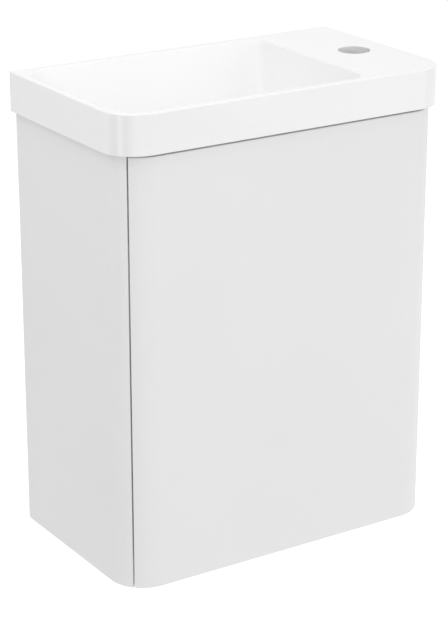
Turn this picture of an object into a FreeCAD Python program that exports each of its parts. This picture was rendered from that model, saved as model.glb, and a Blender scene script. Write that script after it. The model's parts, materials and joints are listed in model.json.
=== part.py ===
import FreeCAD, Part
import math
import os
import Sketcher
from FreeCAD import Placement, Rotation, Vector

# Wall-hung washbasin cabinet, in millimetres. +X is to the right, -Y to the front, +Z up.
# The wall is the plane y = 0, and the origin is the centre of the four wall screws.

SIZES = [
    ("basin_width", "400", "overall width"),
    ("basin_depth", "225", "overall depth, from the wall"),
    ("skirt_height", "42", "height of the basin's outer skirt"),
    ("basin_corner", "38", "radius of the two front corners"),
    ("skirt_wall", "14", "wall of the skirt"),
    ("deck_thick", "14", "thickness of the rim and the tap deck"),
    ("rim_width", "8", "rim at the left, front and back of the bowl"),
    ("deck_width", "101", "tap deck at the right of the bowl"),
    ("mouth_corner", "20", "corner radius of the bowl at the tap deck"),
    ("bowl_depth", "95", "depth of the bowl"),
    ("bowl_wall", "7", "wall of the bowl"),
    ("bowl_flank", "4", "outside of the bowl beyond its inside, seen from above"),
    ("bowl_space", "1.5", "clearance between the bowl and the side panels"),
    ("tap_side_inset", "26", "how far the bowl draws in on the tap side"),
    ("bowl_floor_corner", "24", "corner radius of the bowl at its floor"),
    ("bowl_floor_blend", "20", "rounding between the bowl's floor and its walls"),
    ("mouth_edge", "2", "rounding of the bowl's mouth"),
    ("top_edge", "1.5", "rounding of the basin's upper outer edge"),
    ("tap_hole", "35", "diameter of the tap hole"),
    ("tap_inset", "44", "tap hole from the right end of the basin"),
    ("tap_setback", "113", "tap hole from the wall"),
    ("waste_hole", "45", "diameter of the waste hole"),
    ("waste_seat", "62", "diameter of the seat for the waste flange"),
    ("waste_seat_depth", "2", "depth of that seat"),
    ("side_overhang", "5.5", "basin past each side panel"),
    ("front_overhang", "4", "basin past the door"),
    ("cabinet_height", "466", "cabinet below the basin"),
    ("cabinet_corner", "39", "outer radius of the cabinet's front corners"),
    ("panel_thick", "18", "side and floor panels"),
    ("door_thick", "18", "door"),
    ("door_gap", "1.5", "shadow gap at the mitre of the opening edge"),
    ("hinge_gap", "2.4", "gap at the mitre of the hinged edge, which the door's heel turns in"),
    ("door_drop", "3", "gap between the basin and the door"),
    ("arris", "0.8", "rounding of the lacquered edges"),
    ("floor_rise", "25", "finger space under the floor panel"),
    ("back_thick", "6", "back panel"),
    ("back_void", "16", "space between the wall and the back panel"),
    ("groove_depth", "6", "groove for the back panel in each side"),
    ("rail_height", "50", "back rail"),
    ("rail_thick", "18", "back rail"),
    ("rail_space", "4", "back rail below the hangers"),
    ("service_width", "90", "opening for the pipes in the back panel"),
    ("service_inset", "40", "that opening from the right side panel, behind the tap"),
    ("service_drop", "5", "that opening below the back rail"),
    ("service_rise", "20", "that opening above the shelf"),
    ("shelf_thick", "16", "shelf"),
    ("shelf_rise", "53", "shelf above the middle of the lower hinge"),
    ("shelf_setback", "25", "shelf behind the door"),
    ("shelf_play", "1", "space round the shelf"),
    ("shelf_pin_inset", "30", "shelf pins from the shelf's front and back edges"),
    ("shelf_pin", "5", "diameter of a shelf pin, and height of its tab"),
    ("shelf_pin_bite", "9", "shelf pin in the panel"),
    ("shelf_tab_reach", "8", "tab of a shelf pin under the shelf"),
    ("shelf_tab_width", "10", "tab of a shelf pin"),
    ("dowel", "8", "diameter of a dowel"),
    ("dowel_bite", "12", "dowel in the side panel"),
    ("dowel_reach", "18", "dowel in the floor panel or rail"),
    ("floor_dowel_inset", "35", "floor dowels from the floor panel's front and back edges"),
    ("rail_dowel_spacing", "26", "between the two dowels at each end of the rail"),
    ("hinge_inset", "95", "hinge from the end of the door"),
    ("pivot_side", "27", "hinge pin from the cabinet's right side"),
    ("pivot_front", "7.3", "hinge pin from the door's face"),
    ("pin_bore", "2.5", "diameter of the hinge pin"),
    ("pin_length", "20", "hinge pin"),
    ("pin_play", "0.05", "running clearance round the pin"),
    ("eye_round", "4.4", "diameter of the arm's eye"),
    ("arm_width", "12", "hinge arm, upright"),
    ("arm_thick", "2", "hinge arm"),
    ("bend_inside", "1", "inner radius of the arm's bends"),
    ("neck_reach", "23", "arm's neck from the pin"),
    ("heel_space", "0.8", "hinge arm and floor panel clear of the door's heel"),
    ("cup_round", "35", "diameter of the hinge cup"),
    ("cup_side", "40", "centre of the cup from the cabinet's right side"),
    ("cup_depth", "14", "hinge cup in the door"),
    ("cup_base", "0.6", "bottom of the hinge cup"),
    ("cup_wall", "0.8", "wall of the hinge cup"),
    ("well_play", "1.2", "well of the cup past each side of the arm"),
    ("flange_round", "37.4", "flange of the cup"),
    ("flange_thick", "1.2", "flange of the cup"),
    ("wing_height", "62", "screw wings of the flange"),
    ("wing_width", "16", "screw wings of the flange"),
    ("cup_screw_spacing", "48", "between the two screws of a cup"),
    ("cup_screw_length", "12", "screw of a cup, below its head"),
    ("base_thick", "3", "mounting plate of a hinge"),
    ("base_ahead", "20", "mounting plate ahead of its screws"),
    ("base_behind", "19", "mounting plate behind its screws"),
    ("base_margin", "2", "mounting plate past each side of the arm"),
    ("base_wing_height", "48", "screw wings of the mounting plate"),
    ("base_wing_width", "14", "screw wings of the mounting plate"),
    ("system_line", "37", "mounting plate screws from the panel's front edge"),
    ("base_screw_spacing", "32", "between the two screws of a mounting plate"),
    ("arm_screw_inset", "8", "arm screw from the arm's end"),
    ("panel_screw_bite", "13", "screws in the side panels"),
    ("screw_shank", "3.5", "diameter of the wood screws"),
    ("screw_head", "7", "diameter of the screw heads"),
    ("head_height", "1.8", "height of the screw heads"),
    ("recess_width", "1", "arms of the cross recess in a head"),
    ("recess_span", "4", "length of the cross recess"),
    ("recess_depth", "1", "depth of the cross recess"),
    ("catch_width", "20", "magnetic catch"),
    ("catch_depth", "34", "magnetic catch"),
    ("catch_height", "22", "magnetic catch"),
    ("catch_rise", "32", "centre of the catch above the floor panel"),
    ("catch_foot_thick", "3", "screw foot of the catch"),
    ("catch_foot_depth", "16", "screw foot of the catch"),
    ("catch_foot_height", "46", "screw foot of the catch"),
    ("catch_screw_spacing", "34", "between the screws of the catch"),
    ("magnet_depth", "8", "magnet"),
    ("magnet_width", "10", "magnet"),
    ("magnet_height", "15", "magnet"),
    ("strike_inset", "12", "centre of the strike plate from the left side panel"),
    ("strike_round", "14", "diameter of the strike plate"),
    ("strike_thick", "1.8", "strike plate"),
    ("strike_screw_bite", "10", "screw of the strike plate in the door"),
    ("catch_play", "0.3", "between the magnet and the strike plate"),
    ("buffer_round", "8", "diameter of a door buffer"),
    ("buffer_spacing", "200", "between the two buffers"),
    ("buffer_play", "0.3", "between a buffer and the door"),
    ("hanger_width", "16", "hanger body"),
    ("hanger_depth", "46", "hanger body"),
    ("hanger_height", "60", "hanger body"),
    ("hanger_head", "20", "hanger body above its hook"),
    ("hanger_space", "3", "hangers below the bowl"),
    ("hanger_screw_inset", "12", "hanger screws from the top and bottom of the body"),
    ("hook_thick", "3", "hook plate"),
    ("hook_height", "10", "hook plate"),
    ("hook_bite", "30", "hook in the hanger body"),
    ("tooth_drop", "10", "turned-down tooth of the hook"),
    ("tooth_thick", "4", "turned-down tooth of the hook"),
    ("tooth_play", "0.5", "tooth behind the lip of the wall plate"),
    ("hook_slot_play", "3", "slot in the back panel past each side of the hook"),
    ("wall_plate_width", "28", "wall plate"),
    ("wall_plate_height", "44", "flat part of the wall plate"),
    ("wall_plate_thick", "2", "wall plate"),
    ("wall_plate_play", "1", "wall plate from the side panel"),
    ("lip_rise", "12", "lip above the flat part"),
    ("lip_offset", "6", "lip from the wall"),
    ("wall_hole", "6.5", "diameter of the wall screw holes"),
    ("wall_hole_spacing", "24", "between the two holes of a wall plate"),
    ("wall_hole_inset", "9", "wall screw holes from the wall plate's inner edge"),
]

# Lines and levels that several pieces share, worked out from the sizes.
PLACES = [
    ("half_basin", "=Sizes.basin_width / 2"),
    ("half_cabinet", "=half_basin - Sizes.side_overhang"),
    ("inner", "=half_cabinet - Sizes.panel_thick"),
    ("front", "=Sizes.front_overhang - Sizes.basin_depth"),
    ("door_back", "=front + Sizes.door_thick"),
    ("mitre", "=Sizes.hinge_gap / sqrt(2)"),
    ("tip_middle", "=Sizes.cabinet_corner - sqrt(Sizes.cabinet_corner ^ 2 / 2 - mitre ^ 2 / 4)"),
    ("tip_near", "=tip_middle - mitre / 2"),
    ("tip_far", "=tip_middle + mitre / 2"),
    ("opening_mitre", "=(2 * Sizes.door_gap - Sizes.hinge_gap) / sqrt(2)"),
    ("opening_middle",
     "=Sizes.cabinet_corner - sqrt(Sizes.cabinet_corner ^ 2 / 2 - opening_mitre ^ 2 / 4)"),
    ("opening_near", "=opening_middle - opening_mitre / 2"),
    ("opening_far", "=opening_middle + opening_mitre / 2"),
    ("panel_front", "=front + Sizes.panel_thick + mitre"),
    ("back_front", "=-Sizes.back_void - Sizes.back_thick"),
    ("flat_top", "=Sizes.wall_plate_height / 2"),
    ("hook_under", "=flat_top + Sizes.lip_rise"),
    ("hook_x", "=inner - Sizes.hanger_width / 2"),
    ("hanger_top", "=hook_under + Sizes.hook_height + Sizes.hanger_head"),
    ("hanger_under", "=hanger_top - Sizes.hanger_height"),
    ("bowl_under", "=hanger_top + Sizes.hanger_space"),
    ("bowl_floor", "=bowl_under + Sizes.bowl_wall"),
    ("top", "=bowl_floor + Sizes.bowl_depth"),
    ("seat", "=top - Sizes.skirt_height"),
    ("foot", "=seat - Sizes.cabinet_height"),
    ("door_top", "=seat - Sizes.door_drop"),
    ("floor_under", "=foot + Sizes.floor_rise"),
    ("floor_top", "=floor_under + Sizes.panel_thick"),
    ("rail_top", "=hanger_under - Sizes.rail_space"),
    ("rail_under", "=rail_top - Sizes.rail_height"),
    ("hinge_high", "=door_top - Sizes.hinge_inset"),
    ("hinge_low", "=foot + Sizes.hinge_inset"),
    ("shelf_under", "=hinge_low + Sizes.shelf_rise"),
    ("service_under", "=shelf_under + Sizes.shelf_thick + Sizes.service_rise"),
    ("service_top", "=rail_under - Sizes.service_drop"),
    ("shelf_front", "=door_back + Sizes.shelf_setback"),
    ("shelf_back", "=back_front - Sizes.shelf_play"),
    ("mouth_left", "=-half_basin + Sizes.rim_width"),
    ("mouth_right", "=half_basin - Sizes.deck_width"),
    ("mouth_front", "=-Sizes.basin_depth + Sizes.rim_width"),
    ("mouth_back", "=-Sizes.rim_width"),
    ("rim_corner", "=Sizes.basin_corner - Sizes.rim_width"),
    ("shell_top", "=top - Sizes.deck_thick / 2"),
    ("seat_inset", "=half_basin - inner + Sizes.bowl_space + Sizes.bowl_flank - Sizes.rim_width"),
    ("floor_inset", "=seat_inset * (shell_top - bowl_under) / (shell_top - seat)"),
    ("pivot_x", "=half_cabinet - Sizes.pivot_side"),
    ("pivot_y", "=front + Sizes.pivot_front"),
    ("heel", "=sqrt((Sizes.pivot_side - tip_far) ^ 2 + (tip_near - Sizes.pivot_front) ^ 2)"),
    ("neck_x", "=pivot_x - Sizes.neck_reach"),
    ("heel_line", "=pivot_y + heel + Sizes.heel_space"),
    ("floor_front", "=heel_line"),
    ("cup_x", "=half_cabinet - Sizes.cup_side"),
    ("base_x", "=inner - Sizes.base_thick"),
    ("base_y", "=panel_front + Sizes.system_line"),
    ("arm_end", "=base_y + Sizes.base_behind"),
    ("catch_z", "=floor_top + Sizes.catch_rise"),
    ("catch_front", "=door_back + Sizes.strike_thick + Sizes.catch_play"),
    ("strike_x", "=-inner + Sizes.strike_inset"),
]

TURNS = {"x": Rotation(Vector(0, 1, 0), 90), "y": Rotation(Vector(1, 0, 0), -90), "z": Rotation()}
SIDES = (("left", -1), ("right", 1))
LEVELS = (("upper", "Places.hinge_high"), ("lower", "Places.hinge_low"))
NEAR = 0.01

doc = FreeCAD.newDocument("washbasin_cabinet")
nodes = []


def fill_sheet(name, rows):
    sheet = doc.addObject("Spreadsheet::Sheet", name)
    for number, row in enumerate(rows, 1):
        sheet.set(f"A{number}", row[0])
        sheet.set(f"B{number}", row[1])
        sheet.setAlias(f"B{number}", row[0])
        if len(row) > 2:
            sheet.set(f"C{number}", row[2])
    doc.recompute()
    return sheet


fill_sheet("Sizes", SIZES)
places = fill_sheet("Places", PLACES)


def value(formula):
    return float(places.evalExpression(formula))


def add(kind, label):
    thing = doc.addObject(kind, label)
    thing.Label = label
    return thing


def node(thing, label):
    thing.Label = label
    nodes.append(thing)
    return thing


def place(thing, corner):
    for axis, formula in zip("xyz", corner):
        thing.setExpression(f"Placement.Base.{axis}", formula)


def box(label, corner, size):
    solid = add("Part::Box", label)
    for name, formula in zip(("Length", "Width", "Height"), size):
        solid.setExpression(name, formula)
    place(solid, corner)
    return solid


def rod(label, axis, start, diameter, length):
    solid = add("Part::Cylinder", label)
    solid.setExpression("Radius", f"({diameter}) / 2")
    solid.setExpression("Height", length)
    solid.Placement = Placement(Vector(), TURNS[axis])
    place(solid, start)
    return solid


def fuse(label, *parts):
    result = add("Part::MultiFuse", label)
    result.Shapes = list(parts)
    return result


def cut(label, base, *tools):
    result = add("Part::Cut", label)
    result.Base = base
    result.Tool = tools[0] if len(tools) == 1 else fuse(f"{label}_tools", *tools)
    return result


def common(label, *parts):
    result = add("Part::MultiCommon", label)
    result.Shapes = list(parts)
    return result


def group(label, parts):
    result = add("Part::Compound", label)
    result.Links = list(parts)
    return result


def mirror(label, source):
    twin = add("Part::Mirroring", label)
    twin.Source = source
    twin.Normal = Vector(1, 0, 0)
    return twin


def sideways(side, near, far):
    """Lower x of a stretch from near to far, as seen from the right-hand side."""
    return near if side > 0 else f"-({far})"


def side_rod(label, side, near, far, y, z, diameter):
    """Rod along X between two distances from the middle plane, on one side of it."""
    return rod(label, "x", (sideways(side, near, far), y, z), diameter, f"({far}) - ({near})")


def side_box(label, side, near, far, corner, size):
    """Box between two distances from the middle plane, on one side of it."""
    start = (sideways(side, near, far), *corner)
    return box(label, start, (f"({far}) - ({near})", *size))


def new_sketch(body, name, level):
    sketch = body.newObject("Sketcher::SketchObject", name)
    plane = next(item for item in body.Origin.OriginFeatures if item.Role == "XY_Plane")
    sketch.AttachmentSupport = (plane, [""])
    sketch.MapMode = "FlatFace"
    sketch.setExpression("AttachmentOffset.Base.z", level)
    return sketch


def dimension(sketch, name, formula, *target):
    number = sketch.addConstraint(Sketcher.Constraint(*target, value(formula)))
    sketch.renameConstraint(number, name)
    sketch.setExpression(f"Constraints.{name}", formula)


def arc_between(start, end, radius):
    chord = end - start
    rise = math.sqrt(max(radius ** 2 - chord.Length ** 2 / 4, 0))
    inward = Vector(-chord.y, chord.x, 0).normalize()
    centre = (start + end) / 2 + inward * rise
    angles = [math.atan2(point.y - centre.y, point.x - centre.x) for point in (start, end)]
    return Part.ArcOfCircle(Part.Circle(centre, Vector(0, 0, 1), radius), *angles)


def outline(body, name, level, corners):
    """Closed outline, anticlockwise. A corner with a third value starts an arc of that radius."""
    sketch = new_sketch(body, name, level)
    points = [Vector(value(corner[0]), value(corner[1]), 0) for corner in corners]
    count = len(corners)
    for index, corner in enumerate(corners):
        start, end = points[index], points[(index + 1) % count]
        if len(corner) > 2:
            sketch.addGeometry(arc_between(start, end, value(corner[2])))
        else:
            sketch.addGeometry(Part.LineSegment(start, end))
    for index in range(count):
        sketch.addConstraint(Sketcher.Constraint("Coincident", index, 2, (index + 1) % count, 1))
    for index, corner in enumerate(corners):
        dimension(sketch, f"across{index}", corner[0], "DistanceX", -1, 1, index, 1)
        dimension(sketch, f"along{index}", corner[1], "DistanceY", -1, 1, index, 1)
        if len(corner) > 2:
            dimension(sketch, f"radius{index}", corner[2], "Radius", index)
    return sketch


def circle(body, name, level, centre, diameter):
    sketch = new_sketch(body, name, level)
    middle = Vector(value(centre[0]), value(centre[1]), 0)
    sketch.addGeometry(Part.Circle(middle, Vector(0, 0, 1), value(diameter) / 2))
    dimension(sketch, "across", centre[0], "DistanceX", -1, 1, 0, 3)
    dimension(sketch, "along", centre[1], "DistanceY", -1, 1, 0, 3)
    dimension(sketch, "size", diameter, "Diameter", 0)
    return sketch


def rounded(left, right, front, back, left_radius, right_radius):
    """Corners of a rectangle whose four corners are arcs."""
    return [
        (f"{left} + {left_radius}", front),
        (f"{right} - {right_radius}", front, right_radius),
        (right, f"{front} + {right_radius}"),
        (right, f"{back} - {right_radius}", right_radius),
        (f"{right} - {right_radius}", back),
        (f"{left} + {left_radius}", back, left_radius),
        (left, f"{back} - {left_radius}"),
        (left, f"{front} + {left_radius}", left_radius),
    ]


def round_front(half, front, back, radius):
    """Corners of a rectangle whose two front corners are arcs."""
    return [
        (f"-{half} + {radius}", front),
        (f"{half} - {radius}", front, radius),
        (half, f"{front} + {radius}"),
        (half, back),
        (f"-{half}", back),
        (f"-{half}", f"{front} + {radius}", radius),
    ]


def pad(body, sketch, name, height):
    feature = body.newObject("PartDesign::Pad", name)
    feature.Profile = sketch
    feature.setExpression("Length", height)
    return feature


def pocket(body, sketch, name, depth, upward=False):
    before = body.Shape.Volume
    feature = body.newObject("PartDesign::Pocket", name)
    feature.Profile = sketch
    feature.Reversed = upward
    feature.setExpression("Length", depth)
    doc.recompute()
    assert body.Shape.Volume < before - NEAR, f"{name} cuts nothing"
    return feature


def loft(body, kind, name, first, second):
    feature = body.newObject(f"PartDesign::{kind}", name)
    feature.Profile = first
    feature.Sections = [second]
    feature.Ruled = True
    doc.recompute()
    return feature


def soften(body, name, radius, wanted):
    """Round the edges of the body's last feature for which wanted(edge) is true."""
    doc.recompute()
    last = body.Tip
    found = [f"Edge{number}" for number, edge in enumerate(last.Shape.Edges, 1) if wanted(edge)]
    assert found, f"{name} finds no edge"
    feature = body.newObject("PartDesign::Fillet", name)
    feature.Base = (last, found)
    feature.setExpression("Radius", radius)
    doc.recompute()
    return feature


def at_level(edge, level):
    return all(abs(vertex.Z - level) < NEAR for vertex in edge.Vertexes)


def upright_at(edge, spots):
    ends = [vertex.Point for vertex in edge.Vertexes]
    if len(ends) < 2 or abs(ends[0].z - ends[1].z) < NEAR:
        return False
    return all(any(math.hypot(end.x - x, end.y - y) < NEAR for x, y in spots) for end in ends)


def screw(label, axis, seat, toward, bite):
    """Pan-head wood screw. seat is where the head's underside lies, toward is +1 or -1 along the axis.
    Returns the finished screw and its shank, which also drills the hole."""
    index = "xyz".index(axis)
    shank_start = list(seat)
    head_start = list(seat)
    recess_start = list(seat)
    if toward > 0:
        head_start[index] = f"{seat[index]} - Sizes.head_height"
        recess_start[index] = head_start[index]
    else:
        shank_start[index] = f"{seat[index]} - ({bite})"
        recess_start[index] = f"{seat[index]} + Sizes.head_height - Sizes.recess_depth"
    shank = rod(f"{label}_shank", axis, shank_start, "Sizes.screw_shank", bite)
    head = rod(f"{label}_head", axis, head_start, "Sizes.screw_head", "Sizes.head_height")
    bars = []
    for number, long_axis in enumerate([name for name in "xyz" if name != axis]):
        sizes = {name: "Sizes.recess_width" for name in "xyz"}
        sizes[axis] = "Sizes.recess_depth"
        sizes[long_axis] = "Sizes.recess_span"
        corner = list(recess_start)
        for name in "xyz":
            if name != axis:
                corner["xyz".index(name)] = f"{seat['xyz'.index(name)]} - {sizes[name]} / 2"
        bars.append(box(f"{label}_bar{number}", corner, [sizes[name] for name in "xyz"]))
    return cut(f"{label}_screw", fuse(f"{label}_blank", shank, head), *bars), shank


# Basin: skirt and deck, hollow underneath, with a drawn-in bowl, a tap hole and a waste hole.
basin = add("PartDesign::Body", "basin")
skirt = outline(basin, "skirt_outline", "Places.seat",
                round_front("Places.half_basin", "-Sizes.basin_depth", "0", "Sizes.basin_corner"))
pad(basin, skirt, "skirt", "Sizes.skirt_height")
doc.recompute()
hollow = outline(basin, "hollow_outline", "Places.seat",
                 round_front("(Places.half_basin - Sizes.skirt_wall)",
                             "(Sizes.skirt_wall - Sizes.basin_depth)", "-Sizes.skirt_wall",
                             "(Sizes.basin_corner - Sizes.skirt_wall)"))
pocket(basin, hollow, "hollow", "Sizes.skirt_height - Sizes.deck_thick", upward=True)


def bowl_outline(name, level, margin, inset, tap_inset, corners):
    left_corner, right_corner = corners
    return outline(basin, name, level, rounded(
        f"(Places.mouth_left + {inset} - {margin})", f"(Places.mouth_right - {tap_inset} + {margin})",
        f"(Places.mouth_front + {inset} - {margin})", f"(Places.mouth_back - {inset} + {margin})",
        f"({left_corner} + {margin})", f"({right_corner} + {margin})"))


mouth_corners = ("Places.rim_corner", "Sizes.mouth_corner")
floor_corners = ("Sizes.bowl_floor_corner", "Sizes.bowl_floor_corner")
shell_top = bowl_outline("shell_top", "Places.shell_top", "Sizes.bowl_flank", "0", "0", mouth_corners)
shell_floor = bowl_outline("shell_floor", "Places.bowl_under", "Sizes.bowl_flank",
                           "Places.floor_inset", "Sizes.tap_side_inset", floor_corners)
loft(basin, "AdditiveLoft", "bowl_shell", shell_top, shell_floor)
mouth = bowl_outline("mouth", "Places.top", "0", "0", "0", mouth_corners)
bowl_floor = bowl_outline("bowl_floor", "Places.bowl_floor", "0",
                          "Places.floor_inset", "Sizes.tap_side_inset", floor_corners)
loft(basin, "SubtractiveLoft", "bowl", mouth, bowl_floor)
soften(basin, "floor_blend", "Sizes.bowl_floor_blend",
       lambda edge: at_level(edge, value("Places.bowl_floor")))


def in_mouth(edge):
    return at_level(edge, value("Places.top")) and all(
        value("Places.mouth_left") - NEAR < vertex.X < value("Places.mouth_right") + NEAR
        and value("Places.mouth_front") - NEAR < vertex.Y < value("Places.mouth_back") + NEAR
        for vertex in edge.Vertexes)


def on_top_rim(edge):
    at_wall = all(abs(vertex.Y) < NEAR for vertex in edge.Vertexes)
    return at_level(edge, value("Places.top")) and not in_mouth(edge) and not at_wall


soften(basin, "mouth_round", "Sizes.mouth_edge", in_mouth)
soften(basin, "rim_round", "Sizes.top_edge", on_top_rim)
tap = circle(basin, "tap_circle", "Places.top",
             ("Places.half_basin - Sizes.tap_inset", "-Sizes.tap_setback"), "Sizes.tap_hole")
pocket(basin, tap, "tap_opening", "Sizes.deck_thick")
waste_centre = ("(Places.mouth_left + Places.floor_inset + Places.mouth_right - Sizes.tap_side_inset) / 2",
                "(Places.mouth_front + Places.mouth_back) / 2")
seat_circle = circle(basin, "waste_seat_circle", "Places.bowl_floor", waste_centre, "Sizes.waste_seat")
pocket(basin, seat_circle, "waste_recess", "Sizes.waste_seat_depth")
waste = circle(basin, "waste_circle", "Places.bowl_floor", waste_centre, "Sizes.waste_hole")
pocket(basin, waste, "waste_opening", "Sizes.bowl_wall")
node(basin, "basin")

# Side panels: rounded at the front, mitred at 45 degrees to meet the door, grooved for the back panel.
side_blank = add("PartDesign::Body", "side_blank")
side_outline = outline(side_blank, "side_outline", "Places.foot", [
    ("Places.half_cabinet - Places.tip_near", "Places.front + Places.tip_far", "Sizes.cabinet_corner"),
    ("Places.half_cabinet", "Places.front + Sizes.cabinet_corner"),
    ("Places.half_cabinet", "0"),
    ("Places.inner", "0"),
    ("Places.inner", "Places.panel_front"),
])
pad(side_blank, side_outline, "side_upright", "Sizes.cabinet_height")


def on_side_face(edge):
    tip = (value("Places.half_cabinet - Places.tip_near"), value("Places.front + Places.tip_far"))
    middle = edge.CenterOfMass
    outside = middle.x > tip[0] and middle.y < value("-Sizes.panel_thick")
    return upright_at(edge, [tip]) or (outside and at_level(edge, value("Places.foot")))


soften(side_blank, "side_arris", "Sizes.arris", on_side_face)
side_blanks = {"right": side_blank, "left": mirror("side_blank_left", side_blank)}
side_tools = {"left": [], "right": []}
for side_name, side in SIDES:
    groove = side_box(f"groove_{side_name}", side, "Places.inner", "Places.inner + Sizes.groove_depth",
                      ("Places.back_front", "Places.floor_under"),
                      ("Sizes.back_thick", "Places.seat - Places.floor_under"))
    side_tools[side_name].append(groove)

# Floor panel, back rail and their dowels.
floor_size = ("2 * Places.inner", "Places.back_front - Places.floor_front", "Sizes.panel_thick")
floor_blank = box("floor_blank", ("-Places.inner", "Places.floor_front", "Places.floor_under"), floor_size)
rail_blank = box("rail_blank", ("-Places.inner", "Places.back_front - Sizes.rail_thick", "Places.rail_under"),
                 ("2 * Places.inner", "Sizes.rail_thick", "Sizes.rail_height"))
floor_level = "Places.floor_under + Sizes.panel_thick / 2"
rail_y = "Places.back_front - Sizes.rail_thick / 2"
rail_middle = "(Places.rail_under + Places.rail_top) / 2"
floor_dowels = []
rail_dowels = []
for side_name, side in SIDES:
    spots = [
        (floor_dowels, "Places.floor_front + Sizes.floor_dowel_inset", floor_level),
        (floor_dowels, "Places.back_front - Sizes.floor_dowel_inset", floor_level),
        (rail_dowels, rail_y, f"{rail_middle} - Sizes.rail_dowel_spacing / 2"),
        (rail_dowels, rail_y, f"{rail_middle} + Sizes.rail_dowel_spacing / 2"),
    ]
    for number, (kin, y, z) in enumerate(spots):
        dowel = side_rod(f"dowel_{side_name}_{number}", side, "Places.inner - Sizes.dowel_reach",
                         "Places.inner + Sizes.dowel_bite", y, z, "Sizes.dowel")
        kin.append(dowel)
        side_tools[side_name].append(dowel)
node(cut("floor_panel", floor_blank, *floor_dowels), "floor_panel")
node(cut("back_rail", rail_blank, *rail_dowels), "back_rail")
node(group("floor_dowels", floor_dowels), "floor_dowels")
node(group("rail_dowels", rail_dowels), "rail_dowels")

# Back panel, with the service opening and a slot for each hook.
back_half = "(Places.inner + Sizes.groove_depth)"
back_blank = box("back_blank", (f"-{back_half}", "Places.back_front", "Places.floor_under"),
                 (f"2 * {back_half}", "Sizes.back_thick", "Places.seat - Places.floor_under"))
service_left = "Places.inner - Sizes.service_inset - Sizes.service_width"
service = box("service_opening", (service_left, "Places.back_front", "Places.service_under"),
              ("Sizes.service_width", "Sizes.back_thick", "Places.service_top - Places.service_under"))
slot_half = "(Sizes.hook_thick / 2 + Sizes.hook_slot_play)"
hook_slots = [
    side_box(f"hook_slot_{side_name}", side, f"Places.hook_x - {slot_half}", f"Places.hook_x + {slot_half}",
             ("Places.back_front", "Places.hook_under - Sizes.tooth_drop - Sizes.hook_slot_play"),
             ("Sizes.back_thick", "Sizes.tooth_drop + Sizes.hook_height + 2 * Sizes.hook_slot_play"))
    for side_name, side in SIDES
]
node(cut("back_panel", back_blank, service, *hook_slots), "back_panel")

# Shelf on four tabbed pins.
node(box("shelf", ("Sizes.shelf_play - Places.inner", "Places.shelf_front", "Places.shelf_under"),
         ("2 * (Places.inner - Sizes.shelf_play)", "Places.shelf_back - Places.shelf_front",
          "Sizes.shelf_thick")), "shelf")
shelf_pins = []
for side_name, side in SIDES:
    rows = ("Places.shelf_front + Sizes.shelf_pin_inset", "Places.shelf_back - Sizes.shelf_pin_inset")
    for number, y in enumerate(rows):
        pin_name = f"shelf_pin_{side_name}_{number}"
        shank = side_rod(f"{pin_name}_shank", side, "Places.inner", "Places.inner + Sizes.shelf_pin_bite",
                         y, "Places.shelf_under - Sizes.shelf_pin / 2", "Sizes.shelf_pin")
        tab = side_box(f"{pin_name}_tab", side, "Places.inner - Sizes.shelf_tab_reach", "Places.inner",
                       (f"{y} - Sizes.shelf_tab_width / 2", "Places.shelf_under - Sizes.shelf_pin"),
                       ("Sizes.shelf_tab_width", "Sizes.shelf_pin"))
        shelf_pins.append(fuse(pin_name, shank, tab))
        side_tools[side_name].append(shank)
node(group("shelf_pins", shelf_pins), "shelf_pins")

# Door: rounded and mitred on both upright edges, with the wider gap at the hinges.
door_blank = add("PartDesign::Body", "door_blank")
door_flat = "(Places.half_cabinet - Sizes.cabinet_corner)"
hinged_tip = ("Places.half_cabinet - Places.tip_far", "Places.front + Places.tip_near")
opening_tip = ("Places.opening_far - Places.half_cabinet", "Places.front + Places.opening_near")
door_outline = outline(door_blank, "door_outline", "Places.foot", [
    (f"-{door_flat}", "Places.front"),
    (door_flat, "Places.front", "Sizes.cabinet_corner"),
    hinged_tip,
    ("Places.half_cabinet - Sizes.door_thick - Places.mitre", "Places.door_back"),
    ("Sizes.door_thick + Places.opening_mitre - Places.half_cabinet", "Places.door_back"),
    (*opening_tip, "Sizes.cabinet_corner"),
])
pad(door_blank, door_outline, "door_slab", "Places.door_top - Places.foot")
tip_spots = [(value(x), value(y)) for x, y in (opening_tip, hinged_tip)]


def on_door_face(edge):
    level = at_level(edge, value("Places.foot")) or at_level(edge, value("Places.door_top"))
    outside = edge.CenterOfMass.y < min(y for x, y in tip_spots) - NEAR
    return upright_at(edge, tip_spots) or (level and outside)


soften(door_blank, "door_arris", "Sizes.arris", on_door_face)
door_tools = []

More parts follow.
